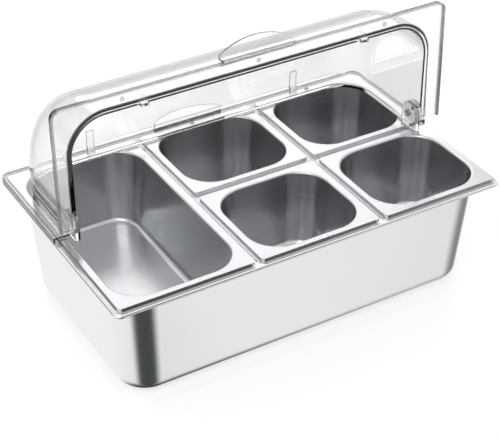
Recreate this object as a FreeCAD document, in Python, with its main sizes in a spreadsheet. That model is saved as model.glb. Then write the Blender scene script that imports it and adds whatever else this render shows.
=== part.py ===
"""Roll-top food display, in millimetres.

A deep stainless steel pan carries five smaller pans on its lip and on two adapter bars.
A clear cover in two halves stands over them: both halves turn on one pair of hinge pins, and
the front half, which is the outer one, rolls back over the rear half. It is drawn opened.

The frame is +Z up, +X along the length, +Y to the rear, with the origin at the middle of the
pan's underside.
"""
import FreeCAD, Part
import math
import os
import Sketcher

doc = FreeCAD.newDocument("RollTopFoodDisplay")
V = FreeCAD.Vector

# Driving dimensions: alias, value, what it is
DIMENSIONS = [
    ("lip_length", 536.0, "outer length of the base pan's lip"),
    ("lip_width", 325.0, "outer width of the base pan's lip"),
    ("lip_corner", 10.0, "corner radius of the lip"),
    ("lip_drop", 5.0, "height of the lip's turned-down edge"),
    ("lip_round", 2.0, "round along the lip's top edge"),
    ("base_depth", 150.0, "underside of the base pan to the top of its lip"),
    ("base_sheet", 1.0, "steel thickness of the base pan"),
    ("mouth_inset", 12.5, "lip's outer edge to the wall, at the top"),
    ("foot_inset", 30.0, "lip's outer edge to the wall, at the bottom"),
    ("mouth_corner", 44.0, "wall corner radius at the top"),
    ("foot_corner", 32.0, "wall corner radius at the bottom"),
    ("foot_round", 8.0, "round between wall and floor, outside"),
    ("base_mouth_round", 1.5, "round where the wall turns over into the lip"),
    ("pan_edge", 2.5, "lip's outer edge to the pans"),
    ("third_width", 183.5, "size of the long pan along the length"),
    ("pan_gap", 1.5, "gap between neighbouring pans"),
    ("pan_sheet", 0.8, "steel thickness of the pans"),
    ("pan_rim_height", 4.5, "seat of a pan's rim to its flat top"),
    ("pan_ledge", 2.5, "width of the ledge round a pan's rim"),
    ("pan_bevel", 1.6, "run of the bevel from the ledge to the flat top"),
    ("pan_rim_corner", 9.0, "corner radius of a pan's rim"),
    ("pan_wall_gap", 1.2, "base pan's wall to the walls of the pans"),
    ("pan_depth", 100.0, "flat top to the underside of a pan"),
    ("pan_mouth_round", 2.4, "round along a pan's mouth"),
    ("pan_floor_round", 9.0, "round between wall and floor, outside"),
    ("bar_sheet", 1.0, "steel thickness of an adapter bar"),
    ("bar_width", 21.0, "width of an adapter bar"),
    ("bar_height", 12.0, "height of an adapter bar"),
    ("bar_end_gap", 2.5, "adapter bar's end to the base pan's wall"),
    ("finger_width", 4.0, "width of the fingers that hang a bar on the lip"),
    ("finger_length", 18.0, "length of those fingers"),
    ("finger_gap", 0.8, "fingers to the rims of the pans beside them"),
    ("finger_seat", 4.5, "how far a finger reaches past the wall, over the lip"),
    ("pin_height", 27.0, "top of the base pan's lip to the hinge pins"),
    ("skirt_gap", 0.8, "cover's skirt to the pans inside it"),
    ("lip_gap", 0.6, "cover's skirt to the lip below it"),
    ("rim_corner", 12.0, "corner radius of the cover's rim"),
    ("rim_sheet", 2.4, "thickness of the cover's rim"),
    ("rim_round", 0.9, "round along the rim's outer edge"),
    ("rim_width", 18.2, "rim's outer edge to the front half's dome"),
    ("dome_corner", 51.0, "outside radius between the dome and its ends"),
    ("dome_sheet", 2.5, "thickness of the dome"),
    ("dome_root", 2.5, "round between the dome and its rim"),
    ("nest_gap", 1.0, "front half's inside to the rear half's outside"),
    ("lap_angle", 7.0, "how far the rear half reaches under the front half, in degrees"),
    ("half_gap", 0.5, "rim ends of each half to the hinge line"),
    ("open_angle", 91.0, "turn of the front half from shut to open, in degrees"),
    ("ear_radius", 15.0, "radius of the hinge ears"),
    ("ear_boss", 4.0, "extra thickness of the hinge ears"),
    ("pin_radius", 3.0, "radius of a hinge pin"),
    ("pin_play", 0.05, "radial play of a hinge pin in its ears"),
    ("pin_head_radius", 5.0, "radius of a hinge pin's head"),
    ("pin_head_height", 2.0, "height of a hinge pin's head"),
    ("pin_head_round", 0.6, "round along a hinge pin's head"),
    ("pin_end_play", 0.3, "head of a hinge pin to the front half's ear"),
    ("cap_radius", 5.0, "radius of the cap that keeps a hinge pin in"),
    ("cap_height", 3.0, "height of that cap"),
    ("cap_skin", 1.0, "closed end of that cap"),
    ("tab_width", 10.0, "width of the stop tabs on the crown"),
    ("tab_spacing", 302.0, "distance between the stop tabs"),
    ("tab_rib", 1.5, "how far a stop tab stands proud of its dome"),
    ("tab_root", 22.0, "how far the front half's stop tabs lie on its own crown"),
    ("tab_tip", 3.5, "how far the rear half's stop tabs stand out past its edge"),
    ("stop_gap", 0.5, "front half's stop tabs to the root of the rear dome when open"),
    ("bumper_radius", 3.2, "radius of the rim's bumpers"),
    ("bumper_height", 0.8, "height of the rim's bumpers"),
    ("bumper_round", 0.3, "round along a bumper's lower edge"),
    ("bumper_spacing", 179.0, "distance between neighbouring bumpers"),
    ("grip_width", 100.0, "width of a grip"),
    ("grip_sheet", 2.4, "thickness of a grip"),
    ("grip_leg", 5.3, "how far a grip's leg stands above the rim"),
    ("grip_reach", 19.6, "rim's outer edge to a grip's front edge"),
    ("grip_rise", 3.0, "rise of a grip from its crease to its front edge"),
    ("grip_bow", 95.0, "radius of a grip's front edge, seen from above"),
    ("grip_corner", 5.0, "corner radius of a grip, seen from above"),
    ("grip_crease", 0.8, "round along both sides of a grip's crease"),
    ("grip_edge", 0.8, "round along a grip's front edge"),
]

dims = doc.addObject("Spreadsheet::Sheet", "dims")
for row, (alias, number, meaning) in enumerate(DIMENSIONS, start=1):
    dims.set("A%d" % row, meaning)
    dims.set("B%d" % row, str(number))
    dims.setAlias("B%d" % row, alias)
doc.recompute()


def value(formula):
    """The present number of a formula."""
    number = dims.evalExpression(formula)
    return float(getattr(number, "Value", number))


# Sizes and places that follow from the driving dimensions

PANS_END = "(dims.lip_length / 2 - dims.pan_edge)"
PANS_WIDTH = "(dims.lip_width - 2 * dims.pan_edge)"
COLUMN = "(%s - dims.third_width / 2 - dims.pan_gap)" % PANS_END
ROW = "((%s - dims.pan_gap) / 2)" % PANS_WIDTH
LEFT_PLACE = "(dims.third_width / 2 - %s)" % PANS_END
RIGHT_PLACE = "(%s - %s / 2)" % (PANS_END, COLUMN)
MIDDLE_PLACE = "(%s - %s - dims.pan_gap)" % (RIGHT_PLACE, COLUMN)
ROW_PLACE = "((%s + dims.pan_gap) / 2)" % ROW
LEFT_JOINT = "(dims.third_width + dims.pan_gap / 2 - %s)" % PANS_END
RIGHT_JOINT = "((%s + %s) / 2)" % (MIDDLE_PLACE, RIGHT_PLACE)
PAN_MOUTH_INSET = "(dims.mouth_inset + dims.base_sheet + dims.pan_wall_gap + dims.pan_sheet - dims.pan_edge)"
PAN_MOUTH_CORNER = "(dims.mouth_corner - dims.base_sheet - dims.pan_wall_gap - dims.pan_sheet)"
PAN_SHARE = "(dims.pan_depth / dims.base_depth)"
PAN_DRAFT = "((dims.foot_inset - dims.mouth_inset) * %s)" % PAN_SHARE
PAN_FLOOR_CORNER = "(%s - (dims.mouth_corner - dims.foot_corner) * %s)" % (PAN_MOUTH_CORNER, PAN_SHARE)
PAN_FLAT_PLACE = "((dims.pan_ledge + dims.pan_bevel + %s - dims.pan_mouth_round) / 2)" % PAN_MOUTH_INSET

RIM_LENGTH = "(2 * (%s + dims.skirt_gap + dims.rim_sheet))" % PANS_END
RIM_REACH = "(%s / 2 + dims.skirt_gap + dims.rim_sheet)" % PANS_WIDTH
RIM_UNDERSIDE = "(dims.pan_rim_height + dims.bumper_height - dims.pin_height)"
RIM_TOP = "(%s + dims.rim_sheet)" % RIM_UNDERSIDE
SKIRT_FOOT = "(dims.lip_gap - dims.pin_height)"
FRONT_LENGTH = "(%s - 2 * dims.rim_width)" % RIM_LENGTH
FRONT_RADIUS = "(%s - dims.rim_width)" % RIM_REACH
NEST = "(dims.dome_sheet + dims.nest_gap)"
REAR_LENGTH = "(%s - 2 * %s)" % (FRONT_LENGTH, NEST)
REAR_RADIUS = "(%s - %s)" % (FRONT_RADIUS, NEST)
REAR_CORNER = "(dims.dome_corner - %s)" % NEST
PIN_SEAT = "(%s / 2 + dims.ear_boss + dims.pin_end_play)" % FRONT_LENGTH
CAP_SEAT = "(%s / 2 - dims.dome_sheet - dims.ear_boss)" % REAR_LENGTH
PIN_END = "(%s - dims.cap_height + dims.cap_skin)" % CAP_SEAT


# Sketch and feature helpers

def new_body(label):
    body = doc.addObject("PartDesign::Body", label)
    body.Label = label
    return body


def place(body, x="0", y="0", z="0"):
    """Ties a body's position to formulas."""
    for axis, formula in (("x", x), ("y", y), ("z", z)):
        body.setExpression("Placement.Base." + axis, formula)


def origin_feature(body, role):
    return next(item for item in body.Origin.OriginFeatures if item.Role == role)


def new_sketch(body, name, plane="XY_Plane", height="0", to_front=False):
    """A sketch on one of the body's own planes, lifted off it by a formula.

    to_front turns it half round, so that its positive Y points to the front.
    """
    sketch = body.newObject("Sketcher::SketchObject", name)
    sketch.AttachmentSupport = [(origin_feature(body, plane), "")]
    sketch.MapMode = "FlatFace"
    if to_front:
        sketch.AttachmentOffset = FreeCAD.Placement(V(), FreeCAD.Rotation(V(0, 0, 1), 180))
    sketch.setExpression("AttachmentOffset.Base.z", height)
    return sketch


def size(sketch, name, formula, kind, *points):
    """A named dimension of a sketch that follows a formula."""
    index = sketch.addConstraint(Sketcher.Constraint(kind, *points, value(formula)))
    sketch.renameConstraint(index, name)
    sketch.setExpression("Constraints." + name, formula)


def join(sketch, kind, first, second):
    """The end of one line or arc meets the start of the next."""
    sketch.addConstraint(Sketcher.Constraint(kind, first, 2, second, 1))


def arc(x, y, radius, start):
    """A quarter circle, anticlockwise from an angle in degrees."""
    circle_line = Part.Circle(V(x, y, 0), V(0, 0, 1), radius)
    return Part.ArcOfCircle(circle_line, math.radians(start), math.radians(start + 90))


def rounded_rectangle(sketch, length, width, corner):
    """A rectangle about the sketch's origin with round corners."""
    radius = value(corner)
    x = value(length) / 2 - radius
    y = value(width) / 2 - radius
    for quarter, (across, up) in enumerate(((x, y), (-x, y), (-x, -y), (x, -y))):
        sketch.addGeometry(arc(across, up, radius, 90 * quarter))
    for quarter in range(4):
        following = (quarter + 1) % 4
        side = Part.LineSegment(sketch.getPoint(quarter, 2), sketch.getPoint(following, 1))
        line = sketch.addGeometry(side)
        join(sketch, "Tangent", quarter, line)
        join(sketch, "Tangent", line, following)
        direction = "Vertical" if quarter % 2 else "Horizontal"
        sketch.addConstraint(Sketcher.Constraint(direction, line))
    for quarter in range(1, 4):
        sketch.addConstraint(Sketcher.Constraint("Equal", 0, quarter))
    sketch.addConstraint(Sketcher.Constraint("Symmetric", 0, 3, 2, 3, -1, 1))
    size(sketch, "corner", corner, "Radius", 0)
    size(sketch, "length", length, "DistanceX", 1, 2, 0, 1)
    size(sketch, "width", width, "DistanceY", 3, 1, 0, 2)


def bay_outline(sketch, length, start, reach, corner):
    """Half of a rounded rectangle: straight across at start, round corners at reach."""
    half = value(length) / 2
    low = value(start)
    high = value(reach)
    radius = value(corner)
    sketch.addGeometry([
        Part.LineSegment(V(-half, low, 0), V(half, low, 0)),
        Part.LineSegment(V(half, low, 0), V(half, high - radius, 0)),
        arc(half - radius, high - radius, radius, 0),
        Part.LineSegment(V(half - radius, high, 0), V(radius - half, high, 0)),
        arc(radius - half, high - radius, radius, 90),
        Part.LineSegment(V(-half, high - radius, 0), V(-half, low, 0)),
    ])
    join(sketch, "Coincident", 0, 1)
    join(sketch, "Coincident", 5, 0)
    for first in (1, 2, 3, 4):
        join(sketch, "Tangent", first, first + 1)
    for direction, line in (("Vertical", 1), ("Horizontal", 3), ("Vertical", 5)):
        sketch.addConstraint(Sketcher.Constraint(direction, line))
    sketch.addConstraint(Sketcher.Constraint("Equal", 2, 4))
    sketch.addConstraint(Sketcher.Constraint("Symmetric", 0, 1, 0, 2, -2))
    size(sketch, "start", start, "DistanceY", -1, 1, 0, 1)
    size(sketch, "reach", reach, "DistanceY", -1, 1, 3, 1)
    size(sketch, "length", length, "DistanceX", 0, 1, 0, 2)
    size(sketch, "corner", corner, "Radius", 2)


def polygon(sketch, name, corners):
    """Straight lines through corners given as pairs of formulas."""
    first = sketch.GeometryCount
    count = len(corners)
    points = [V(value(x), value(y), 0) for x, y in corners]
    for index in range(count):
        sketch.addGeometry(Part.LineSegment(points[index], points[(index + 1) % count]))
    for index, (x, y) in enumerate(corners):
        line = first + index
        join(sketch, "Coincident", line, first + (index + 1) % count)
        size(sketch, "%sX%d" % (name, index), x, "DistanceX", -1, 1, line, 1)
        size(sketch, "%sY%d" % (name, index), y, "DistanceY", -1, 1, line, 1)


def rectangle(sketch, name, left, right, low, high):
    polygon(sketch, name, [(left, low), (right, low), (right, high), (left, high)])


def circle(sketch, name, x, y, radius):
    """A circle at a place given by formulas."""
    index = sketch.addGeometry(Part.Circle(V(value(x), value(y), 0), V(0, 0, 1), value(radius)))
    size(sketch, name + "R", radius, "Radius", index)
    size(sketch, name + "X", x, "DistanceX", -1, 1, index, 3)
    size(sketch, name + "Y", y, "DistanceY", -1, 1, index, 3)


def extrude(body, kind, name, sketch, length, down=False, both=False):
    """A Pad or a Pocket of a sketch, along the sketch's normal, against it or both ways."""
    feature = body.newObject("PartDesign::" + kind, name)
    feature.Profile = sketch
    feature.setExpression("Length", length)
    feature.Reversed = down
    feature.Midplane = both
    doc.recompute()
    return feature


def cut(body, name, sketch, length, down=False, both=False):
    """A Pocket that has to take something away."""
    before = body.Shape.Volume
    feature = extrude(body, "Pocket", name, sketch, length, down, both)
    if feature.Shape.Volume > before - 1e-6:
        raise RuntimeError(body.Label + ": " + name + " cuts nothing")
    return feature


def revolve(body, kind, name, sketch, angle, beyond=None, both=False):
    """A Revolution or a Groove about the body's X axis, also the other way by beyond."""
    feature = body.newObject("PartDesign::" + kind, name)
    feature.Profile = sketch
    feature.ReferenceAxis = (origin_feature(body, "X_Axis"), [""])
    feature.Midplane = both
    if beyond:
        feature.Type = "TwoAngles"
        feature.setExpression("Angle2", beyond)
    feature.setExpression("Angle", angle)
    doc.recompute()
    return feature


def loft(body, kind, name, lower, upper):
    """A ruled loft between two outlines, added or taken away."""
    feature = body.newObject("PartDesign::" + kind, name)
    feature.Profile = lower
    feature.Sections = [upper]
    feature.Ruled = True
    doc.recompute()
    return feature


def fillet(body, name, radius, test):
    """Rounds the edges of the body, so far, that pass a test."""
    base = body.Tip
    edges = enumerate(base.Shape.Edges, start=1)
    names = ["Edge%d" % index for index, edge in edges if test(edge)]
    if not names:
        raise RuntimeError(body.Label + ": " + name + " finds no edge")
    feature = body.newObject("PartDesign::Fillet", name)
    feature.Base = (base, names)
    feature.setExpression("Radius", radius)
    doc.recompute()
    return feature


def same(first, second):
    """Whether two coordinates agree to a hundredth of a millimetre."""
    return abs(first - second) < 0.01


def level(edge, height):
    """Whether an edge lies flat at a height."""
    return all(same(vertex.Z, height) for vertex in edge.Vertexes)


def within(edge, half_length, half_width):
    """Whether an edge's ends lie in a rectangle about the origin, its sides included."""
    return all(max(abs(vertex.X) - half_length, abs(vertex.Y) - half_width) < 0.01
               for vertex in edge.Vertexes)


def shrunk(formula, inset):
    """A full length or width, less an inset on both sides."""
    return "(%s) - 2 * (%s)" % (formula, inset)


# Base pan: a lip with a turned-down edge round a deep, tapered body

def base_pan():
    body = new_body("base_pan")

    def outline(name, height, inset, corner):
        sketch = new_sketch(body, name, height=height)
        rounded_rectangle(sketch, shrunk("dims.lip_length", inset), shrunk("dims.lip_width", inset), corner)
        return sketch

    top = value("dims.base_depth")
    lip = outline("LipOutline", "dims.base_depth", "0", "dims.lip_corner")
    extrude(body, "Pad", "LipBlock", lip, "dims.lip_drop", down=True)
    fillet(body, "LipRound", "dims.lip_round", lambda edge: level(edge, top))
    under = outline("LipUnderside", "dims.base_depth - dims.lip_drop", "dims.base_sheet",
                    "dims.lip_corner - dims.base_sheet")
    cut(body, "LipHollow", under, "dims.lip_drop - dims.base_sheet", down=True)

    foot = outline("FootOutline", "0", "dims.foot_inset", "dims.foot_corner")
    mouth = outline("MouthOutline", "dims.base_depth", "dims.mouth_inset", "dims.mouth_corner")
    loft(body, "AdditiveLoft", "Outside", foot, mouth)
    floor = outline("FloorOutline", "dims.base_sheet", "dims.foot_inset + dims.base_sheet",
                    "dims.foot_corner - dims.base_sheet")
    opening = outline("OpeningOutline", "dims.base_depth", "dims.mouth_inset + dims.base_sheet",
                      "dims.mouth_corner - dims.base_sheet")
    loft(body, "SubtractiveLoft", "Inside", floor, opening)
    floor_height = value("dims.base_sheet")
    fillet(body, "FloorRound", "dims.foot_round - dims.base_sheet", lambda edge: level(edge, floor_height))
    fillet(body, "FootRound", "dims.foot_round", lambda edge: level(edge, 0))
    half_length = value("dims.lip_length / 2 - dims.mouth_inset")
    half_width = value("dims.lip_width / 2 - dims.mouth_inset")
    fillet(body, "MouthRound", "dims.base_mouth_round",
           lambda edge: level(edge, top) and within(edge, half_length, half_width))
    place(body)
    return body


# Insert pans: a raised, hollow rim with a ledge round it, and a tapered body

def insert_pan(label, length, width, x, y):
    body = new_body(label)

    def outline(name, height, inset, corner):
        sketch = new_sketch(body, name, height=height)
        rounded_rectangle(sketch, shrunk(length, inset), shrunk(width, inset), corner)
        return sketch

    ledge = outline("LedgeOutline", "0", "0", "dims.pan_rim_corner")
    extrude(body, "Pad", "Ledge", ledge, "dims.pan_sheet")
    rim_foot = outline("RimFoot", "0", "dims.pan_ledge", "dims.pan_rim_corner - dims.pan_ledge")
    rim_top = outline("RimTop", "dims.pan_rim_height", "dims.pan_ledge + dims.pan_bevel",
                      "dims.pan_rim_corner - dims.pan_ledge - dims.pan_bevel")
    loft(body, "AdditiveLoft", "Rim", rim_foot, rim_top)
    hollow_foot = outline("HollowFoot", "0", "dims.pan_ledge + dims.pan_sheet",
                          "dims.pan_rim_corner - dims.pan_ledge - dims.pan_sheet")
    hollow_top = outline("HollowTop", "dims.pan_rim_height - dims.pan_sheet",
                         "dims.pan_ledge + dims.pan_bevel + dims.pan_sheet",
                         "dims.pan_rim_corner - dims.pan_ledge - dims.pan_bevel - dims.pan_sheet")
    loft(body, "SubtractiveLoft", "RimHollow", hollow_foot, hollow_top)

    underside = "dims.pan_rim_height - dims.pan_depth"
    floor_inset = "%s + %s" % (PAN_MOUTH_INSET, PAN_DRAFT)
    outer_floor = outline("OuterFloor", underside, floor_inset + " - dims.pan_sheet",
                          PAN_FLOOR_CORNER + " + dims.pan_sheet")
    outer_mouth = outline("OuterMouth", "dims.pan_rim_height", PAN_MOUTH_INSET + " - dims.pan_sheet",
                          PAN_MOUTH_CORNER + " + dims.pan_sheet")
    loft(body, "AdditiveLoft", "Outside", outer_floor, outer_mouth)
    inner_floor = outline("InnerFloor", underside + " + dims.pan_sheet", floor_inset, PAN_FLOOR_CORNER)
    inner_mouth = outline("InnerMouth", "dims.pan_rim_height", PAN_MOUTH_INSET, PAN_MOUTH_CORNER)
    loft(body, "SubtractiveLoft", "Inside", inner_floor, inner_mouth)
    floor_height = value(underside + " + dims.pan_sheet")
    fillet(body, "InnerFloorRound", "dims.pan_floor_round - dims.pan_sheet",
           lambda edge: level(edge, floor_height))
    low = value(underside)
    fillet(body, "OuterFloorRound", "dims.pan_floor_round", lambda edge: level(edge, low))
    top = value("dims.pan_rim_height")
    half_length = value("%s / 2 - %s" % (length, PAN_MOUTH_INSET))
    half_width = value("%s / 2 - %s" % (width, PAN_MOUTH_INSET))
    fillet(body, "MouthRound", "dims.pan_mouth_round",
           lambda edge: level(edge, top) and within(edge, half_length, half_width))
    place(body, x, y, "dims.base_depth")
    return body


# Adapter bars: channels under the joints between the columns, hung on the lip by fingers
# that lie in the hollow rims of the pans beside them

def adapter_bar(label, x):
    body = new_body(label)
    half_width = "dims.bar_width / 2"
    half_length = "(dims.lip_width / 2 - dims.mouth_inset - dims.base_sheet - dims.bar_end_gap)"
    channel = new_sketch(body, "ChannelOutline")
    rectangle(channel, "edge", "-" + half_width, half_width, "-" + half_length, half_length)
    extrude(body, "Pad", "Channel", channel, "dims.bar_height", down=True)
    hollow = new_sketch(body, "HollowOutline", height="-dims.bar_height")
    rectangle(hollow, "edge", "dims.bar_sheet - " + half_width, half_width + " - dims.bar_sheet",
              "-" + half_length, half_length)
    cut(body, "Hollow", hollow, "dims.bar_height - dims.bar_sheet", down=True)
    near = "(dims.pan_gap / 2 + dims.pan_ledge + dims.pan_bevel + dims.pan_sheet + dims.finger_gap)"
    far = "(%s + dims.finger_width)" % near
    tip = "(dims.lip_width / 2 - dims.mouth_inset + dims.finger_seat)"
    root = "(%s - dims.finger_length)" % tip
    fingers = new_sketch(body, "FingerOutline")
    rectangle(fingers, "rearRight", near, far, root, tip)
    rectangle(fingers, "rearLeft", "-" + far, "-" + near, root, tip)
    rectangle(fingers, "frontRight", near, far, "-" + tip, "-" + root)
    rectangle(fingers, "frontLeft", "-" + far, "-" + near, "-" + tip, "-" + root)
    extrude(body, "Pad", "Fingers", fingers, "dims.bar_sheet")
    place(body, x, "0", "dims.base_depth")
    return body


# Cover halves, each drawn shut and facing the front, about the middle of the hinge line

def place_half(body, front):
    """Sets a piece of a half on the hinge line: the front half opened, the rear half turned round."""
    if front:
        body.Placement = FreeCAD.Placement(V(), FreeCAD.Rotation(V(-1, 0, 0), value("dims.open_angle")))
        body.setExpression("Placement.Rotation.Angle", "dims.open_angle")
    else:
        body.Placement = FreeCAD.Placement(V(), FreeCAD.Rotation(V(0, 0, 1), 180))
    place(body, z="dims.base_depth + dims.pin_height")


def cover_rim(body):
    """A flat rim with a skirt turned down round its outer edge."""
    top = value(RIM_TOP)
    end = -value("dims.half_gap")
    rim = new_sketch(body, "RimOutline", height=RIM_TOP, to_front=True)
    bay_outline(rim, RIM_LENGTH, "dims.half_gap", RIM_REACH, "dims.rim_corner")
    extrude(body, "Pad", "RimBlock", rim, "%s - %s" % (RIM_TOP, SKIRT_FOOT), down=True)
    fillet(body, "RimRound", "dims.rim_round",
           lambda edge: level(edge, top) and not same(edge.CenterOfMass.y, end))
    under = new_sketch(body, "RimUnderside", height=SKIRT_FOOT, to_front=True)
    bay_outline(under, shrunk(RIM_LENGTH, "dims.rim_sheet"), "0", RIM_REACH + " - dims.rim_sheet",
                "dims.rim_corner - dims.rim_sheet")
    cut(body, "RimHollow", under, "%s - %s" % (RIM_UNDERSIDE, SKIRT_FOOT), down=True)


def cover_dome(body, length, radius, corner, beyond=None):
    """A quarter drum about the hinge line that runs straight down to the rim."""
    profile = new_sketch(body, "DomeProfile", plane="XZ_Plane")
    bay_outline(profile, length, "0", radius, corner)
    revolve(body, "Revolution", "Dome", profile, "90", beyond)
    wall = new_sketch(body, "WallOutline", to_front=True)
    bay_outline(wall, length, "dims.half_gap", radius, corner)
    extrude(body, "Pad", "Wall", wall, "-" + RIM_UNDERSIDE, down=True)

    inner_length = shrunk(length, "dims.dome_sheet")
    inner_radius = radius + " - dims.dome_sheet"
    inner_corner = corner + " - dims.dome_sheet"
    hollow = new_sketch(body, "HollowProfile", plane="XZ_Plane")
    bay_outline(hollow, inner_length, "0", inner_radius, inner_corner)
    revolve(body, "Groove", "DomeHollow", hollow, "90", beyond)
    mouth = new_sketch(body, "MouthOutline", to_front=True)
    bay_outline(mouth, inner_length, "0", inner_radius, inner_corner)
    cut(body, "Mouth", mouth, "-" + RIM_UNDERSIDE)
    top = value(RIM_TOP)
    half_length = value(length + " / 2")
    depth = value(radius)
    fillet(body, "DomeRoot", "dims.dome_root",
           lambda edge: level(edge, top) and within(edge, half_length, depth))


def arc_angle(length, radius):
    """The angle in degrees of a length along a circle."""
    return "(%s) / (%s) * 180 / pi" % (length, radius)


def stop_tabs(body, inner, outer, root, reach):
    """Two strips along the crown, from an angle on their own half to one past the hinge line."""
    strips = new_sketch(body, "TabProfile", plane="XZ_Plane")
    for name, middle in (("right", "dims.tab_spacing / 2"), ("left", "-dims.tab_spacing / 2")):
        rectangle(strips, name, middle + " - dims.tab_width / 2", middle + " + dims.tab_width / 2",
                  inner, outer)
    revolve(body, "Revolution", "StopTabs", strips, root, reach)


def ear_pad(body, name, sketch_of, start, thickness):
    """The same outline on both ends of a half, from a distance off the middle and outwards."""
    for side, sign in (("Right", ""), ("Left", "-")):
        height = "%s(%s)" % (sign, start)
        sketch = new_sketch(body, name + side + "Outline", plane="YZ_Plane", height=height)
        sketch_of(sketch)
        extrude(body, "Pad", name + side, sketch, thickness, down=(side == "Left"))


def pin_holes(body, length):
    hole = new_sketch(body, "PinHole", plane="YZ_Plane")
    circle(hole, "hole", "0", "0", "dims.pin_radius + dims.pin_play")
    cut(body, "PinHoles", hole, length + " + 4 * dims.ear_boss", both=True)


def front_cover():
    body = new_body("front_cover")
    cover_rim(body)
    cover_dome(body, FRONT_LENGTH, FRONT_RADIUS, "dims.dome_corner")
    outer = FRONT_RADIUS + " + dims.tab_rib"
    drop = "-%s - dims.dome_root - dims.stop_gap" % RIM_TOP
    stop_angle = "asin((%s) / (%s)) - (dims.open_angle - 90) * 1 deg" % (drop, outer)
    stop_tabs(body, FRONT_RADIUS + " - dims.dome_sheet", outer, arc_angle("dims.tab_root", outer), stop_angle)
    ear_pad(body, "Ear", lambda sketch: circle(sketch, "ear", "0", "0", "dims.ear_radius"),
            FRONT_LENGTH + " / 2 - dims.dome_sheet", "dims.dome_sheet + dims.ear_boss")
    pin_holes(body, FRONT_LENGTH)
    place_half(body, True)
    return body


def rear_cover():
    body = new_body("rear_cover")
    cover_rim(body)
    cover_dome(body, REAR_LENGTH, REAR_RADIUS, REAR_CORNER, "dims.lap_angle")
    tip_angle = arc_angle("dims.tab_tip", REAR_RADIUS)
    stop_tabs(body, REAR_RADIUS + " - dims.dome_sheet - dims.tab_rib", REAR_RADIUS, tip_angle,
              "dims.lap_angle + " + tip_angle)
    thickness = "dims.dome_sheet + dims.ear_boss"
    ear_pad(body, "Ear", lambda sketch: circle(sketch, "ear", "0", "0", "dims.ear_radius"),
            CAP_SEAT, thickness)
    ear_pad(body, "EarFoot",
            lambda sketch: rectangle(sketch, "foot", "-dims.ear_radius", "dims.ear_radius",
                                     RIM_UNDERSIDE, "0"),
            CAP_SEAT, thickness)
    pin_holes(body, REAR_LENGTH)
    place_half(body, False)
    return body


# Grips and bumpers of both halves

def grip_plan(sketch):
    """A grip seen from above: straight back and sides, round corners and a bowed front."""
    half = value("dims.grip_width / 2")
    radius = value("dims.grip_corner")
    bow = value("dims.grip_bow")
    back = value(RIM_REACH + " - dims.grip_sheet")
    middle = value(RIM_REACH + " + dims.grip_reach - dims.grip_bow")
    x = half - radius
    y = middle + math.sqrt((bow - radius) ** 2 - x ** 2)
    lean = math.atan2(y - middle, x)
    bow_circle = Part.Circle(V(0, middle, 0), V(0, 0, 1), bow)
    right_circle = Part.Circle(V(x, y, 0), V(0, 0, 1), radius)
    left_circle = Part.Circle(V(-x, y, 0), V(0, 0, 1), radius)
    sketch.addGeometry([
        Part.LineSegment(V(-half, back, 0), V(half, back, 0)),
        Part.LineSegment(V(half, back, 0), V(half, y, 0)),
        Part.ArcOfCircle(right_circle, 0, lean),
        Part.ArcOfCircle(bow_circle, lean, math.pi - lean),
        Part.ArcOfCircle(left_circle, math.pi - lean, math.pi),
        Part.LineSegment(V(-half, y, 0), V(-half, back, 0)),
    ])
    join(sketch, "Coincident", 0, 1)
    join(sketch, "Coincident", 5, 0)
    for first in (1, 2, 3, 4):
        join(sketch, "Tangent", first, first + 1)
    for direction, line in (("Horizontal", 0), ("Vertical", 1), ("Vertical", 5)):
        sketch.addConstraint(Sketcher.Constraint(direction, line))
    sketch.addConstraint(Sketcher.Constraint("Equal", 2, 4))
    sketch.addConstraint(Sketcher.Constraint("PointOnObject", 3, 3, -2))
    size(sketch, "back", RIM_REACH + " - dims.grip_sheet", "DistanceY", -1, 1, 0, 1)
    size(sketch, "width", "dims.grip_width", "DistanceX", 0, 1, 0, 2)
    size(sketch, "corner", "dims.grip_corner", "Radius", 2)
    size(sketch, "bow", "dims.grip_bow", "Radius", 3)
    size(sketch, "middle", RIM_REACH + " + dims.grip_reach - dims.grip_bow", "DistanceY", -1, 1, 3, 3)


def grip(label, front):
    """A leg bonded on the outside of the skirt, with a plate that goes out to a bowed front edge."""
    body = new_body(label)
    edge = "-" + RIM_REACH
    outside = edge + " - dims.grip_sheet"
    untrimmed = "(1 + dims.grip_sheet / dims.grip_reach)"
    tip = "%s - %s * dims.grip_reach" % (edge, untrimmed)
    upper = "(%s + dims.grip_leg)" % RIM_TOP
    lower = "(%s - dims.grip_sheet)" % upper
    rise = "%s * dims.grip_rise" % untrimmed
    inside = "%s + dims.grip_sheet * dims.grip_rise / dims.grip_reach" % lower
    profile = new_sketch(body, "GripProfile", plane="YZ_Plane")
    polygon(profile, "corner", [
        (edge, SKIRT_FOOT),
        (edge, upper),
        (tip, "%s + %s" % (upper, rise)),
        (tip, "%s + %s" % (lower, rise)),
        (outside, inside),
        (outside, SKIRT_FOOT),
    ])
    extrude(body, "Pad", "Strip", profile, "dims.grip_width + 2 * dims.grip_sheet", both=True)
    for name, place_y, height in (("CreaseAbove", edge, upper), ("CreaseBelow", outside, inside)):
        y = value(place_y)
        z = value(height)
        fillet(body, name, "dims.grip_crease",
               lambda line: level(line, z) and same(line.CenterOfMass.y, y))

    trim = new_sketch(body, "TrimOutline", height=RIM_TOP, to_front=True)
    grip_plan(trim)
    rectangle(trim, "around", "-dims.grip_width", "dims.grip_width", RIM_REACH + " - 2 * dims.grip_sheet",
              RIM_REACH + " + 2 * dims.grip_reach")
    cut(body, "Trim", trim, "4 * (dims.grip_leg + dims.grip_rise + dims.grip_sheet)", both=True)
    front_edge = value(edge + " - dims.grip_reach / 2")
    fillet(body, "GripEdge", "dims.grip_edge", lambda line: line.CenterOfMass.y < front_edge)
    place_half(body, front)
    return body


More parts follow.
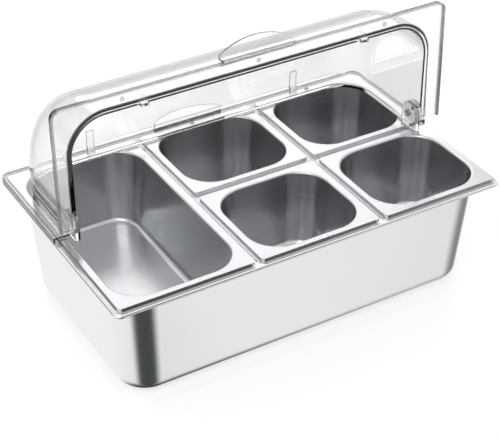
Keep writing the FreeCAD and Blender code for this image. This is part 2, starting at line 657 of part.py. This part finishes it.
def bumper(label, x, front):
    """A low disc under the rim that rests on a pan, at a place along the length."""
    body = new_body(label)
    disc = new_sketch(body, "BumperOutline", height=RIM_UNDERSIDE)
    along = x if front else "-(%s)" % x
    circle(disc, "disc", along, "%s - %s / 2" % (PAN_FLAT_PLACE, PANS_WIDTH), "dims.bumper_radius")
    extrude(body, "Pad", "Disc", disc, "dims.bumper_height", down=True)
    foot = value(RIM_UNDERSIDE + " - dims.bumper_height")
    fillet(body, "BumperRound", "dims.bumper_round", lambda edge: level(edge, foot))
    place_half(body, front)
    return body


# Hinge pins and the caps that keep them in, drawn for the right end about the hinge line

def place_end(body, right):
    if not right:
        body.Placement = FreeCAD.Placement(V(), FreeCAD.Rotation(V(0, 0, 1), 180))
    place(body, z="dims.base_depth + dims.pin_height")


def hinge_pin(label, right):
    body = new_body(label)
    profile = new_sketch(body, "PinProfile", plane="XZ_Plane")
    polygon(profile, "corner", [
        (PIN_END, "0"),
        (PIN_SEAT + " + dims.pin_head_height", "0"),
        (PIN_SEAT + " + dims.pin_head_height", "dims.pin_head_radius"),
        (PIN_SEAT, "dims.pin_head_radius"),
        (PIN_SEAT, "dims.pin_radius"),
        (PIN_END, "dims.pin_radius"),
    ])
    revolve(body, "Revolution", "Pin", profile, "360")
    head = value(PIN_SEAT + " + dims.pin_head_height")
    fillet(body, "HeadRound", "dims.pin_head_round",
           lambda edge: edge.Closed and all(same(vertex.X, head) for vertex in edge.Vertexes))
    place_end(body, right)
    return body


def hinge_cap(label, right):
    body = new_body(label)
    profile = new_sketch(body, "CapProfile", plane="XZ_Plane")
    closed_end = CAP_SEAT + " - dims.cap_height"
    polygon(profile, "corner", [
        (closed_end, "0"),
        (PIN_END, "0"),
        (PIN_END, "dims.pin_radius"),
        (CAP_SEAT, "dims.pin_radius"),
        (CAP_SEAT, "dims.cap_radius"),
        (closed_end, "dims.cap_radius"),
    ])
    revolve(body, "Revolution", "Cap", profile, "360")
    place_end(body, right)
    return body


# The pieces, each in its place

pieces = [
    base_pan(),
    adapter_bar("adapter_bar_left", LEFT_JOINT),
    adapter_bar("adapter_bar_right", RIGHT_JOINT),
    insert_pan("third_pan", "dims.third_width", PANS_WIDTH, LEFT_PLACE, "0"),
    insert_pan("sixth_pan_front_middle", COLUMN, ROW, MIDDLE_PLACE, "-" + ROW_PLACE),
    insert_pan("sixth_pan_front_right", COLUMN, ROW, RIGHT_PLACE, "-" + ROW_PLACE),
    insert_pan("sixth_pan_rear_middle", COLUMN, ROW, MIDDLE_PLACE, ROW_PLACE),
    insert_pan("sixth_pan_rear_right", COLUMN, ROW, RIGHT_PLACE, ROW_PLACE),
    rear_cover(),
    front_cover(),
    grip("rear_handle", False),
    grip("front_handle", True),
    hinge_pin("hinge_pin_left", False),
    hinge_pin("hinge_pin_right", True),
    hinge_cap("hinge_cap_left", False),
    hinge_cap("hinge_cap_right", True),
]
for half in ("front", "rear"):
    for side, x in (("left", "-dims.bumper_spacing"), ("middle", "0"), ("right", "dims.bumper_spacing")):
        pieces.append(bumper("%s_bumper_%s" % (half, side), x, half == "front"))

doc.recompute()
for item in doc.Objects:
    if "Invalid" in item.State or "Error" in item.State:
        raise RuntimeError(item.Name + " is in error")
for piece in pieces:
    if piece.Shape.isNull() or not piece.Shape.isValid():
        raise RuntimeError(piece.Label + " has no valid shape")

os.makedirs("parts", exist_ok=True)
for piece in pieces:
    piece.Shape.exportStep("parts/" + piece.Label + ".step")
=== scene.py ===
# %% [markdown]
# # A roll-top food display, dressed in Blender
# A deep stainless steel pan holds five smaller pans, and a clear cover in two halves stands over
# them on hinge pins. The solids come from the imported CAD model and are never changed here. This
# lesson gives them a studio, a camera and finishes, and makes a closer stand-in for two of them:
# the deep pan and the rear half of the cover.

# %% Load the frame
import bpy
import math
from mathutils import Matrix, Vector


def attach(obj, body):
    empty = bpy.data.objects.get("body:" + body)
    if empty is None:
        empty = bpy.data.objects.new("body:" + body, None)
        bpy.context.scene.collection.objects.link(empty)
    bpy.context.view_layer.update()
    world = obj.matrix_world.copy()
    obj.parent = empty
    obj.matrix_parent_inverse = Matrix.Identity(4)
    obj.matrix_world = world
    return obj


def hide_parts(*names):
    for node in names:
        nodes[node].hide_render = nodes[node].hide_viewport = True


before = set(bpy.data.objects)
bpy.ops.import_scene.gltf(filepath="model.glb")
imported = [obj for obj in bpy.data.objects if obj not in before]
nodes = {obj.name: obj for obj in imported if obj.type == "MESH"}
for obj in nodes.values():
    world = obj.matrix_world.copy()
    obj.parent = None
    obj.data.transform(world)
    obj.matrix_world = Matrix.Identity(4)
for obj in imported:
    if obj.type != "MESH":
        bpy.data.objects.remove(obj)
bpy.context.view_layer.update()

# %% [markdown]
# ## Small tools
# Colours are easiest to read as the hex values of a paint card, but Blender reckons in linear
# light, so one function turns one into the other. Another adds a node to a tree: numbers go into
# its sockets, and another node's output is linked to them. That keeps each material below a short
# list of what it is made of. The scene counts in metres, and MM is a millimetre.

# %% Colour and node helpers
def linear(code, alpha=1.0):
    """A hex colour as the linear numbers that Blender's sockets take."""
    parts = [int(code[i:i + 2], 16) / 255 for i in (1, 3, 5)]
    parts = [c / 12.92 if c <= 0.04045 else ((c + 0.055) / 1.055) ** 2.4 for c in parts]
    return (*parts, alpha)


def node(tree, kind, settings=None, **sockets):
    """Adds a node. A socket is named with _ for a space, or by its number as in_0, in_1."""
    made = tree.nodes.new(kind)
    for name, choice in (settings or {}).items():
        setattr(made, name, choice)
    for name, content in sockets.items():
        key = int(name[3:]) if name.startswith("in_") else name.replace("_", " ")
        if isinstance(content, bpy.types.NodeSocket):
            tree.links.new(content, made.inputs[key])
        else:
            made.inputs[key].default_value = content
    return made


def new_tree(name):
    """An empty material and its node tree."""
    material = bpy.data.materials.new(name)
    material.use_nodes = True
    material.node_tree.nodes.clear()
    return material, material.node_tree


MM = 0.001
WHITE = linear("#ffffff")
print("white card:", [round(c, 3) for c in WHITE[:3]])

# %% [markdown]
# ## The studio
# The display was photographed on a white sweep: the floor runs into a white background with
# hardly a shadow. A picture of a real studio could be wrapped round the scene, but a plain white
# world at a strength of 1 is simpler, and colours render in it about as they are written. A studio
# is never white all round, though, and polished metal shows it. So the camera sees white, also
# through the clear cover, while every other ray meets five soft dark patches in the white.

# %% World
PATCH_TONE = linear("#404345")
# The way to the middle of each patch, and the dot products with it where it begins and is full
PATCHES = [
    ((-0.20, -0.62, -0.76), 0.835, 0.965),  # the floor on the camera's side: a band on the corner
    ((0.8, 0.0, -0.6), 0.75, 1.10),  # the far right, which is never quite full
    ((0.0, 0.0, -1.0), 0.76, 0.97),  # the shadow under the object
    ((0.2, -0.975, 0.1), 0.84, 0.95),  # a black flag in front: lines along rounded edges
    ((-0.69, 0.72, -0.05), 0.93, 0.985),  # a black flag at the left rear, for the same
]


def background_rays(tree):
    """1 for a ray from the camera or through clear plastic, and 0 for any other."""
    path = node(tree, "ShaderNodeLightPath")
    return node(tree, "ShaderNodeMath", {"operation": "MAXIMUM"}, in_0=path.outputs["Is Camera Ray"],
                in_1=path.outputs["Is Transmission Ray"]).outputs[0]


world = bpy.data.worlds.new("studio")
bpy.context.scene.world = world
world.use_nodes = True
tree = world.node_tree
tree.nodes.clear()
where = node(tree, "ShaderNodeTexCoord")
darkness = 0.0
for toward, start, full in PATCHES:
    facing = node(tree, "ShaderNodeVectorMath", {"operation": "DOT_PRODUCT"},
                  in_0=where.outputs["Generated"], in_1=toward)
    patch = node(tree, "ShaderNodeMapRange", {"interpolation_type": "SMOOTHSTEP"},
                 Value=facing.outputs["Value"], From_Min=start, From_Max=full)
    darkness = node(tree, "ShaderNodeMath", {"operation": "MAXIMUM"},
                    in_0=patch.outputs[0], in_1=darkness).outputs[0]
mirrored = node(tree, "ShaderNodeMix", {"data_type": "RGBA"}, Factor=darkness,
                in_6=WHITE, in_7=PATCH_TONE)
tone = node(tree, "ShaderNodeMix", {"data_type": "RGBA"}, Factor=background_rays(tree),
            in_6=mirrored.outputs[2], in_7=WHITE)
sky = node(tree, "ShaderNodeBackground", Color=tone.outputs[2], Strength=1.0)
node(tree, "ShaderNodeOutputWorld", Surface=sky.outputs[0])
print("world:", len(PATCHES), "dark patches,", len(tree.nodes), "nodes")

# %% [markdown]
# ## The floor
# The sweep is a white board, laminated, which gives the eye an even white with a faint gloss. A
# board that is only lit would go grey, and one that only glows would take no shadow, so this one
# does both: most of what the camera sees is glow, and the rest is really lit and carries the
# shadow. A thin gloss mirrors the foot of the pan. Mirror rays from the metal look past the board
# into the world, and the world's light passes through it to the underside.

# %% Floor
FLOOR_WIDTH = 8.0
BELOW_FOOT = 0.2 * MM
GLOW = 0.69
GLOSS_SHARE = 0.05
GLOSS_ROUGHNESS = 0.09
bpy.ops.mesh.primitive_grid_add(x_subdivisions=8, y_subdivisions=8, size=FLOOR_WIDTH)
floor = bpy.context.object
floor.name = "floor"
floor.location.z = -BELOW_FOOT
board, tree = new_tree("white gloss board, laminated")
glow = node(tree, "ShaderNodeMath", {"operation": "MULTIPLY"}, in_0=background_rays(tree), in_1=GLOW)
paper = node(tree, "ShaderNodeBsdfPrincipled", Base_Color=linear("#9c9d9e"), Specular_IOR_Level=0.0,
             Emission_Color=WHITE, Emission_Strength=glow.outputs[0])
gloss = node(tree, "ShaderNodeBsdfGlossy", Roughness=GLOSS_ROUGHNESS)
laminate = node(tree, "ShaderNodeMixShader", in_0=GLOSS_SHARE, in_1=paper.outputs[0],
                in_2=gloss.outputs[0])
node(tree, "ShaderNodeOutputMaterial", Surface=laminate.outputs[0])
floor.data.materials.append(board)
floor.visible_glossy = False
floor.visible_shadow = False
print("floor:", [round(v, 2) for v in floor.dimensions])

# %% [markdown]
# ## Lamps
# Two large soft boxes stand in the white room: one high on the left in front, which models the
# walls, and one behind on the right, which the flat rims of the pans mirror. Small lamps could be
# as bright, but they would throw hard shadows and leave sharp white spots on the steel.

# %% Soft boxes
LAMP_AIM = (0, 0, 0.15)


def soft_box(name, place, width, watts):
    """A square area lamp that looks at the pans."""
    lamp = bpy.data.lights.new(name, "AREA")
    lamp.size = width
    lamp.energy = watts
    box = bpy.data.objects.new(name, lamp)
    box.location = place
    box.rotation_euler = (Vector(LAMP_AIM) - Vector(place)).to_track_quat("-Z", "Y").to_euler()
    bpy.context.scene.collection.objects.link(box)
    print(name, watts, "W")


soft_box("key_box", place=(-1.3, -0.9, 1.9), width=1.3, watts=12)
soft_box("back_box", place=(0.6, 1.5, 1.4), width=1.6, watts=9)

# %% [markdown]
# ## The camera
# A camera can be placed by eye, but this view was fitted to the photograph: the straight edges of
# the lip, the pans and the cover give its place, its turn and its focal length. The height counts
# from the floor, and the angles are in degrees.

# %% Camera
SENSOR_WIDTH = 36.0
FOCAL_PIXELS = 1493.2
PHOTO_WIDTH_PIXELS = 500
CAMERA_PLACE = (-0.7984, -1.3449, 1.1707)
LOOK_DOWN = 34.608
TURN_RIGHT = 30.671
eye = bpy.data.cameras.new("photo_view")
eye.sensor_width = SENSOR_WIDTH
eye.lens = SENSOR_WIDTH * FOCAL_PIXELS / PHOTO_WIDTH_PIXELS
eye.clip_start = 0.05
eye.clip_end = 50.0
camera = bpy.data.objects.new("photo_view", eye)
camera.location = CAMERA_PLACE
camera.rotation_euler = (math.radians(90 - LOOK_DOWN), 0, math.radians(-TURN_RIGHT))
bpy.context.scene.collection.objects.link(camera)
bpy.context.scene.camera = camera
bpy.context.scene.view_settings.view_transform = "Standard"
print("lens %.1f mm" % eye.lens)

# %% [markdown]
# ## Stainless steel
# The pans are austenitic stainless steel, deep drawn from sheet and then satin polished. That gives
# the eye a pale, neutral grey metal whose gloss is soft. The polishing belt runs level round the
# walls, so the fine grain does too, and every reflection is drawn out up and down across it. A
# picture of brushed steel would have to be wrapped round each pan, while a noise that is stretched
# along the level needs no wrapping. Real grain is finer than a tenth of a millimetre, too fine to
# show, so it is drawn about half a millimetre wide. The bars are folded from duller mill sheet.

# %% Satin stainless steel
STREAKS_PER_METRE = 12
MARK_WIDTH = 60 * MM
MARK_SHARE = 0.6
NOISE_LOW, NOISE_HIGH = 0.45, 1.15
ROUGHNESS_SPREAD = 0.03
GRAIN_DEPTH, GRAIN_STRENGTH = 0.1 * MM, 0.02
QUARTER_TURN = 0.25


def satin_steel(name, colour, roughness, grain_width, stretch):
    """Stainless steel with a fine level grain and a faint cloud of handling marks."""
    material, tree = new_tree(name)
    where = node(tree, "ShaderNodeTexCoord")
    grain_at = node(tree, "ShaderNodeMapping", Vector=where.outputs["Object"],
                    Scale=(STREAKS_PER_METRE, STREAKS_PER_METRE, 1 / grain_width))
    grain = node(tree, "ShaderNodeTexNoise", Vector=grain_at.outputs[0], Scale=1.0, Detail=3.0)
    marks = node(tree, "ShaderNodeTexNoise", Vector=where.outputs["Object"], Scale=1 / MARK_WIDTH,
                 Detail=2.0)
    mixed = node(tree, "ShaderNodeMath", {"operation": "MULTIPLY_ADD"},
                 in_0=marks.outputs[0], in_1=MARK_SHARE, in_2=grain.outputs[0])
    rough = node(tree, "ShaderNodeMapRange", Value=mixed.outputs[0],
                 From_Min=NOISE_LOW, From_Max=NOISE_HIGH,
                 To_Min=roughness - ROUGHNESS_SPREAD, To_Max=roughness + ROUGHNESS_SPREAD)
    bump = node(tree, "ShaderNodeBump", Strength=GRAIN_STRENGTH, Distance=GRAIN_DEPTH,
                Height=grain.outputs[0])
    level = node(tree, "ShaderNodeTangent", {"direction_type": "RADIAL", "axis": "Z"})
    metal = node(tree, "ShaderNodeBsdfPrincipled", Base_Color=linear(colour), Metallic=1.0,
                 Roughness=rough.outputs[0], Anisotropic=stretch, Anisotropic_Rotation=QUARTER_TURN,
                 Tangent=level.outputs[0], Normal=bump.outputs[0])
    node(tree, "ShaderNodeOutputMaterial", Surface=metal.outputs[0])
    return material


base_steel = satin_steel("stainless steel, drawn and satin polished", "#eaebec",
                         roughness=0.20, grain_width=0.5 * MM, stretch=0.4)
pan_steel = satin_steel("stainless steel, drawn and fine polished", "#c8c9cb",
                        roughness=0.25, grain_width=0.4 * MM, stretch=0.15)
bar_steel = satin_steel("stainless steel, folded from mill sheet", "#c9cacc",
                        roughness=0.34, grain_width=0.9 * MM, stretch=0.3)
print("steels:", ", ".join(steel.name for steel in (base_steel, pan_steel, bar_steel)))

# %% [markdown]
# ## Clear plastics
# The cover and its grips are moulded polycarbonate, clear and glossy. Such a moulding shows itself
# by its edges, which gather the dark of the room into thin grey lines. A volume that swallows light
# gives them too, but slowly and with noise. This shader finds an edge by asking how far the normal
# turns within a millimetre or two, and there, and where the eye looks along a sheet, it paints that
# dark reflection into the plastic's colour. Lamps shine through, so the shadow is faint. The pins
# and caps come from a blasted mould, which gives the eye a milky grey, and the bumpers are soft
# vinyl, cloudier still; their painted edge shade is a paler grey.

# %% Clear polycarbonate and vinyl
# The edge colour is painted shade: the dark of the room that edges reflect, painted into the colour
CLEAR, PAINTED_EDGE_SHADE, SHADOW_TINT = "#fdfdfd", "#1c1e20", "#f4f5f6"
GLOSSY, FROSTED, CLOUDY = 0.01, 0.35, 0.5
THIN_EDGE, WIDE_EDGE = 1.6 * MM, 2.4 * MM
PLASTIC_IOR = 1.585
# Dot products of the two normals where an edge begins and is full
EDGE_START, EDGE_FULL = 0.98, 0.80
# How far a sheet is turned from the eye, up to 1, where its painted edge shade begins and is full
GRAZING_START, GRAZING_FULL = 0.72, 0.98


def clear_moulding(name, edge, roughness, edge_width):
    """A see-through plastic with a painted shade on its edges, its tree, its shader and that shade's
    mix.
    """
    material, tree = new_tree(name)
    path = node(tree, "ShaderNodeLightPath")
    turned = node(tree, "ShaderNodeBevel", {"samples": 4}, Radius=edge_width)
    flat = node(tree, "ShaderNodeNewGeometry")
    bend = node(tree, "ShaderNodeVectorMath", {"operation": "DOT_PRODUCT"},
                in_0=turned.outputs[0], in_1=flat.outputs["Normal"])
    near_edge = node(tree, "ShaderNodeMapRange", Value=bend.outputs["Value"],
                     From_Min=EDGE_START, From_Max=EDGE_FULL)
    along = node(tree, "ShaderNodeLayerWeight", Blend=0.5)
    grazing = node(tree, "ShaderNodeMapRange", {"interpolation_type": "SMOOTHSTEP"},
                   Value=along.outputs["Facing"], From_Min=GRAZING_START, From_Max=GRAZING_FULL)
    # Painted shade: the room's dark reflection, near an edge and where the sheet is seen along its
    # length
    dark = node(tree, "ShaderNodeMath", {"operation": "MAXIMUM"},
                in_0=near_edge.outputs[0], in_1=grazing.outputs[0])
    painted_edge_mix = node(tree, "ShaderNodeMix", {"data_type": "RGBA"}, Factor=dark.outputs[0],
                in_6=linear(CLEAR), in_7=linear(edge))
    sheet = node(tree, "ShaderNodeBsdfPrincipled", Base_Color=painted_edge_mix.outputs[2], Roughness=roughness,
                 IOR=PLASTIC_IOR, Transmission_Weight=1.0)
    pass_on = node(tree, "ShaderNodeBsdfTransparent", Color=linear(SHADOW_TINT))
    mixed = node(tree, "ShaderNodeMixShader", in_0=path.outputs["Is Shadow Ray"],
                 in_1=sheet.outputs[0], in_2=pass_on.outputs[0])
    node(tree, "ShaderNodeOutputMaterial", Surface=mixed.outputs[0])
    return material, tree, sheet, painted_edge_mix


# The second value is each plastic's painted edge shade
grip_plastic = clear_moulding("polycarbonate, clear moulded", PAINTED_EDGE_SHADE, GLOSSY, WIDE_EDGE)[0]
pin_plastic = clear_moulding("polycarbonate, blasted mould", "#9a9d9f", FROSTED, THIN_EDGE)[0]
soft_vinyl = clear_moulding("soft vinyl, clear moulded", "#8c8f91", CLOUDY, THIN_EDGE)[0]
print("plastics:", ", ".join(plastic.name for plastic in (grip_plastic, pin_plastic, soft_vinyl)))

# %% [markdown]
# ## Frosted ears, and painted shade on the skirts
# The mould of the two halves is blasted at the hinge ears and at the stop tabs, so these come out
# frosted. They could be given a second material, face by face, but a mask that is reckoned from
# the place needs no change to the mesh. An ear is what lies close to the hinge line near the ends,
# and a tab is what stands proud of the dome at two places along it. The skirt that hangs from the
# rim is seen through its own length, which makes it look grey, so that shade is painted into its
# colour as a grey band.

# %% Cover halves
HINGE_HEIGHT = 177.0 * MM
FRONT_DOME, REAR_DOME = 145.0 * MM, 141.5 * MM
OPENED = math.radians(91.0)
EAR_RADIUS = 15.2 * MM
EAR_START = 236.0 * MM
TAB_PLACE = 151.0 * MM
TAB_HALF = 5.1 * MM
TAB_RIB = 1.5 * MM
SKIRT_START = 21.9 * MM
# The skirt's grey is painted shade, for the look through its own length
SKIRT_PAINTED_SHADE = "#85888a"


def cover_half(name, dome_radius, down):
    """Clear plastic that is frosted at the ears and tabs, with a painted grey shade in the skirt."""
    material, tree, sheet, painted_edge_mix = clear_moulding(name, PAINTED_EDGE_SHADE, GLOSSY, THIN_EDGE)
    where = node(tree, "ShaderNodeTexCoord")
    from_hinge = node(tree, "ShaderNodeVectorMath", {"operation": "SUBTRACT"},
                      in_0=where.outputs["Object"], in_1=(0, 0, HINGE_HEIGHT))
    across = node(tree, "ShaderNodeVectorMath", {"operation": "MULTIPLY"},
                  in_0=from_hinge.outputs[0], in_1=(0, 1, 1))
    radius = node(tree, "ShaderNodeVectorMath", {"operation": "LENGTH"},
                  in_0=across.outputs[0]).outputs["Value"]
    along = node(tree, "ShaderNodeSeparateXYZ", Vector=where.outputs["Object"])
    out = node(tree, "ShaderNodeMath", {"operation": "ABSOLUTE"}, in_0=along.outputs["X"]).outputs[0]
    near_end = node(tree, "ShaderNodeMath", {"operation": "GREATER_THAN"}, in_0=out, in_1=EAR_START)
    near_pin = node(tree, "ShaderNodeMath", {"operation": "LESS_THAN"}, in_0=radius, in_1=EAR_RADIUS)
    ear = node(tree, "ShaderNodeMath", {"operation": "MULTIPLY"},
               in_0=near_end.outputs[0], in_1=near_pin.outputs[0])
    at_tab = node(tree, "ShaderNodeMath", {"operation": "COMPARE"},
                  in_0=out, in_1=TAB_PLACE, in_2=TAB_HALF)
    # From a tenth of the tab's rib above the dome to just over its top
    proud = node(tree, "ShaderNodeMath", {"operation": "COMPARE"}, in_0=radius,
                 in_1=dome_radius + 0.6 * TAB_RIB, in_2=0.5 * TAB_RIB)
    frost = node(tree, "ShaderNodeMath", {"operation": "MULTIPLY_ADD"},
                 in_0=at_tab.outputs[0], in_1=proud.outputs[0], in_2=ear.outputs[0])
    rough = node(tree, "ShaderNodeMapRange", Value=frost.outputs[0], To_Min=GLOSSY, To_Max=FROSTED)
    tree.links.new(rough.outputs[0], sheet.inputs["Roughness"])
    # The skirt's painted shade, which goes under the painted edge shade
    depth = node(tree, "ShaderNodeVectorMath", {"operation": "DOT_PRODUCT"},
                 in_0=from_hinge.outputs[0], in_1=down)
    skirt = node(tree, "ShaderNodeMath", {"operation": "GREATER_THAN"},
                 in_0=depth.outputs["Value"], in_1=SKIRT_START)
    body = node(tree, "ShaderNodeMix", {"data_type": "RGBA"}, Factor=skirt.outputs[0],
                in_6=linear(CLEAR), in_7=linear(SKIRT_PAINTED_SHADE))
    tree.links.new(body.outputs[2], painted_edge_mix.inputs[6])
    return material


front_plastic = cover_half("polycarbonate, clear moulded with frosted ears, front half", FRONT_DOME,
                           (0, -math.sin(OPENED), -math.cos(OPENED)))
rear_plastic = cover_half("polycarbonate, clear moulded with frosted ears, rear half", REAR_DOME,
                          (0, 0, -1))
print("cover halves:", len(front_plastic.node_tree.nodes), "nodes each")

# %% [markdown]
# ## The straight mouth
# In the solids the rear half ends on a plane through the hinge line, which leans forward. The real
# mouth is cut upright just in front of the hinge ears. A boolean could add the missing sliver, but
# it would leave a seam in the clear plastic. So a copy of the rear half stands in for the solid,
# with the points of the leaning cut moved forward onto the upright plane.

# %% Rear half with its upright mouth
LAP = math.radians(7.0)
ON_CUT = 0.05 * MM
MOUTH_PLACE = -REAR_DOME * math.sin(LAP)
EAR_TOP = HINGE_HEIGHT + 14.0 * MM
rear_half = bpy.data.objects.new("rear_half", nodes["rear_cover"].data.copy())
bpy.context.scene.collection.objects.link(rear_half)
moved = 0
for vertex in rear_half.data.vertices:
    off_cut = vertex.co.y * math.cos(LAP) + (vertex.co.z - HINGE_HEIGHT) * math.sin(LAP)
    if abs(off_cut) < ON_CUT and vertex.co.z > EAR_TOP:
        vertex.co.y = MOUTH_PLACE
        moved += 1
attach(rear_half, "rear_cover")
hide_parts("rear_cover")
print("moved", moved, "points to the upright mouth")

# %% [markdown]
# ## The drawn pan
# The solid of the base pan has walls that lean in a little more than the real ones. The real pan is
# more upright, with the generous round at its foot that a drawing punch leaves, and its lip ends in
# a rolled bead. Bevels on a box come near it, but a skin that is laid ring by ring keeps every
# radius as it is set here. A ring is a rounded rectangle: a distance in from the lip's outline, a
# corner radius and a height, in mm.

# %% Rings of the drawn pan
LIP_HALF_LENGTH, LIP_HALF_WIDTH, LIP_CORNER = 268.0, 162.5, 10.0
LIP_HEIGHT, SHEET, BEAD = 150.0, 1.0, 2.5
MOUTH_INSET, MOUTH_CORNER, MOUTH_ROUND = 12.5, 44.0, 1.5
FOOT_INSET, FOOT_CORNER, FOOT_ROUND = 23.8, 40.0, 17.0
LEAN = math.atan((FOOT_INSET - MOUTH_INSET) / LIP_HEIGHT)
CORNER_STEPS, ROUND_STEPS, MOUTH_STEPS = 16, 8, 4
SUPPORT = 1.5
QUARTERS = ((1, 1), (-1, 1), (-1, -1), (1, -1))


def spread(start, end, steps):
    """Evenly spaced angles, in radians, between two in degrees."""
    return [math.radians(start + (end - start) * step / steps) for step in range(steps + 1)]


def ring(inset, corner, height):
    """The points of one ring, with a point beside each arc that keeps the straight sides flat."""
    points = []
    for quarter, (side, end) in enumerate(QUARTERS):
        middle = Vector((side * (LIP_HALF_LENGTH - inset - corner),
                         end * (LIP_HALF_WIDTH - inset - corner)))
        turns = spread(90 * quarter, 90 * (quarter + 1), CORNER_STEPS)
        arc = [middle + corner * Vector((math.cos(turn), math.sin(turn))) for turn in turns]
        before = arc[0] - SUPPORT * Vector((-math.sin(turns[0]), math.cos(turns[0])))
        after = arc[-1] + SUPPORT * Vector((-math.sin(turns[-1]), math.cos(turns[-1])))
        points += [Vector((p.x, p.y, height)) * MM for p in (before, *arc, after)]
    return points


def between(mouth, foot, height):
    """A measure of the wall at a height, from its values at the mouth and at the foot."""
    return mouth + (foot - mouth) * (1 - height / LIP_HEIGHT)


def wall(height, skin, inset=None):
    """A ring on the wall, skin millimetres inside its outer face, or on a round beside it."""
    place = between(MOUTH_INSET, FOOT_INSET, height) + skin
    corner = between(MOUTH_CORNER, FOOT_CORNER, height) - skin
    inset = place if inset is None else inset
    return ring(inset, corner - (inset - place), height)


print("the wall leans by %.1f degrees" % math.degrees(LEAN))

# %% [markdown]
# ## Its three rounds
# Sheet that is drawn or rolled never turns on a sharp edge. The pan has a large round between floor
# and wall, a hollow bead round the edge of the lip, and a small round where the lip turns down into
# the mouth. A bevel modifier could add them later, but rings along true arcs meet the wall and the
# flats without a kink.

# %% Foot, bead and mouth
def foot_round(radius, skin):
    """Rings from the flat of the foot up to the wall."""
    level = skin + radius
    middle = between(MOUTH_INSET, FOOT_INSET, level) + skin + radius / math.cos(LEAN)
    return [wall(level - radius * math.sin(turn), skin, middle - radius * math.cos(turn))
            for turn in spread(90, math.degrees(LEAN), ROUND_STEPS)]


def bead(radius, start, end):
    """Rings round the rolled edge of the lip, from one angle to another in degrees."""
    turns = spread(start, end, ROUND_STEPS)
    insets = [BEAD - radius * math.cos(turn) for turn in turns]
    return [ring(inset, LIP_CORNER - inset, LIP_HEIGHT - BEAD + radius * math.sin(turn))
            for inset, turn in zip(insets, turns)]


def mouth_round():
    """Rings from the flat of the lip over into the wall inside."""
    level = LIP_HEIGHT - MOUTH_ROUND
    middle = between(MOUTH_INSET, FOOT_INSET, level) + SHEET - MOUTH_ROUND / math.cos(LEAN)
    over = [wall(level + MOUTH_ROUND * math.sin(turn), SHEET, middle + MOUTH_ROUND * math.cos(turn))
            for turn in spread(90, math.degrees(LEAN), MOUTH_STEPS)]
    return [wall(LIP_HEIGHT, SHEET, middle - SUPPORT / 2), *over, wall(level - SUPPORT, SHEET)]


rings = [*foot_round(FOOT_ROUND, 0.0), wall(FOOT_ROUND + SUPPORT, 0.0), wall(LIP_HEIGHT - SHEET, 0.0),
         *bead(BEAD - SHEET, 90, -90), *bead(BEAD, -90, 90),
         ring(BEAD + SUPPORT, LIP_CORNER - BEAD - SUPPORT, LIP_HEIGHT), *mouth_round(),
         wall(FOOT_ROUND + SUPPORT, SHEET), *reversed(foot_round(FOOT_ROUND - SHEET, SHEET))]
count = len(rings[0])
print("drawn pan:", len(rings), "rings of", count, "points")

# %% [markdown]
# ## From rings to a skin
# The rings run from the foot up the outside, round the bead, over the lip and down to the floor
# inside. Blender could bridge them one pair at a time, but a list of faces takes only a few lines: a
# band of four-sided faces between each ring and the next, and a flat face that closes each end.

# %% Skin of the drawn pan
last = (len(rings) - 1) * count
faces = [[low + i, low + (i + 1) % count, low + count + (i + 1) % count, low + count + i]
         for low in range(0, last, count) for i in range(count)]
faces += [list(range(count))[::-1], list(range(last, last + count))]
skin = bpy.data.meshes.new("drawn_pan")
skin.from_pydata([point for points in rings for point in points], [], faces)
skin.validate()
drawn_pan = bpy.data.objects.new("drawn_pan", skin)
bpy.context.scene.collection.objects.link(drawn_pan)
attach(drawn_pan, "base")
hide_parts("base_pan")
print("drawn pan:", len(faces), "faces")

# %% [markdown]
# ## Give each piece its finish
# A node's mesh stays as it is and only gets smooth shading up to its real edges, and a material.
# Both could be set by hand, piece by piece. Here a word in the node's name picks the material, so
# that pieces of one kind are sure to match, and a stand-in takes the finish of the node that it
# stands for.

# %% Assign
SMOOTH_UP_TO = math.radians(30)
# The first of these words that a name holds gives the finish
FINISHES = [
    ("base_pan", base_steel), ("bar", bar_steel), ("pan", pan_steel), ("bumper", soft_vinyl),
    ("hinge", pin_plastic), ("front_cover", front_plastic), ("rear_cover", rear_plastic),
    ("handle", grip_plastic),
]


def finish_piece(piece, material):
    """Smooth shading, with the edges left sharp, and one material."""
    mesh = piece.data
    mesh.materials.clear()
    mesh.materials.append(material)
    mesh.shade_smooth()
    mesh.set_sharp_from_angle(angle=SMOOTH_UP_TO)


for name, piece in (*nodes.items(), ("rear_cover", rear_half), ("base_pan", drawn_pan)):
    finish_piece(piece, next(material for word, material in FINISHES if word in name))
print("finished", len(nodes), "nodes and two stand-ins")
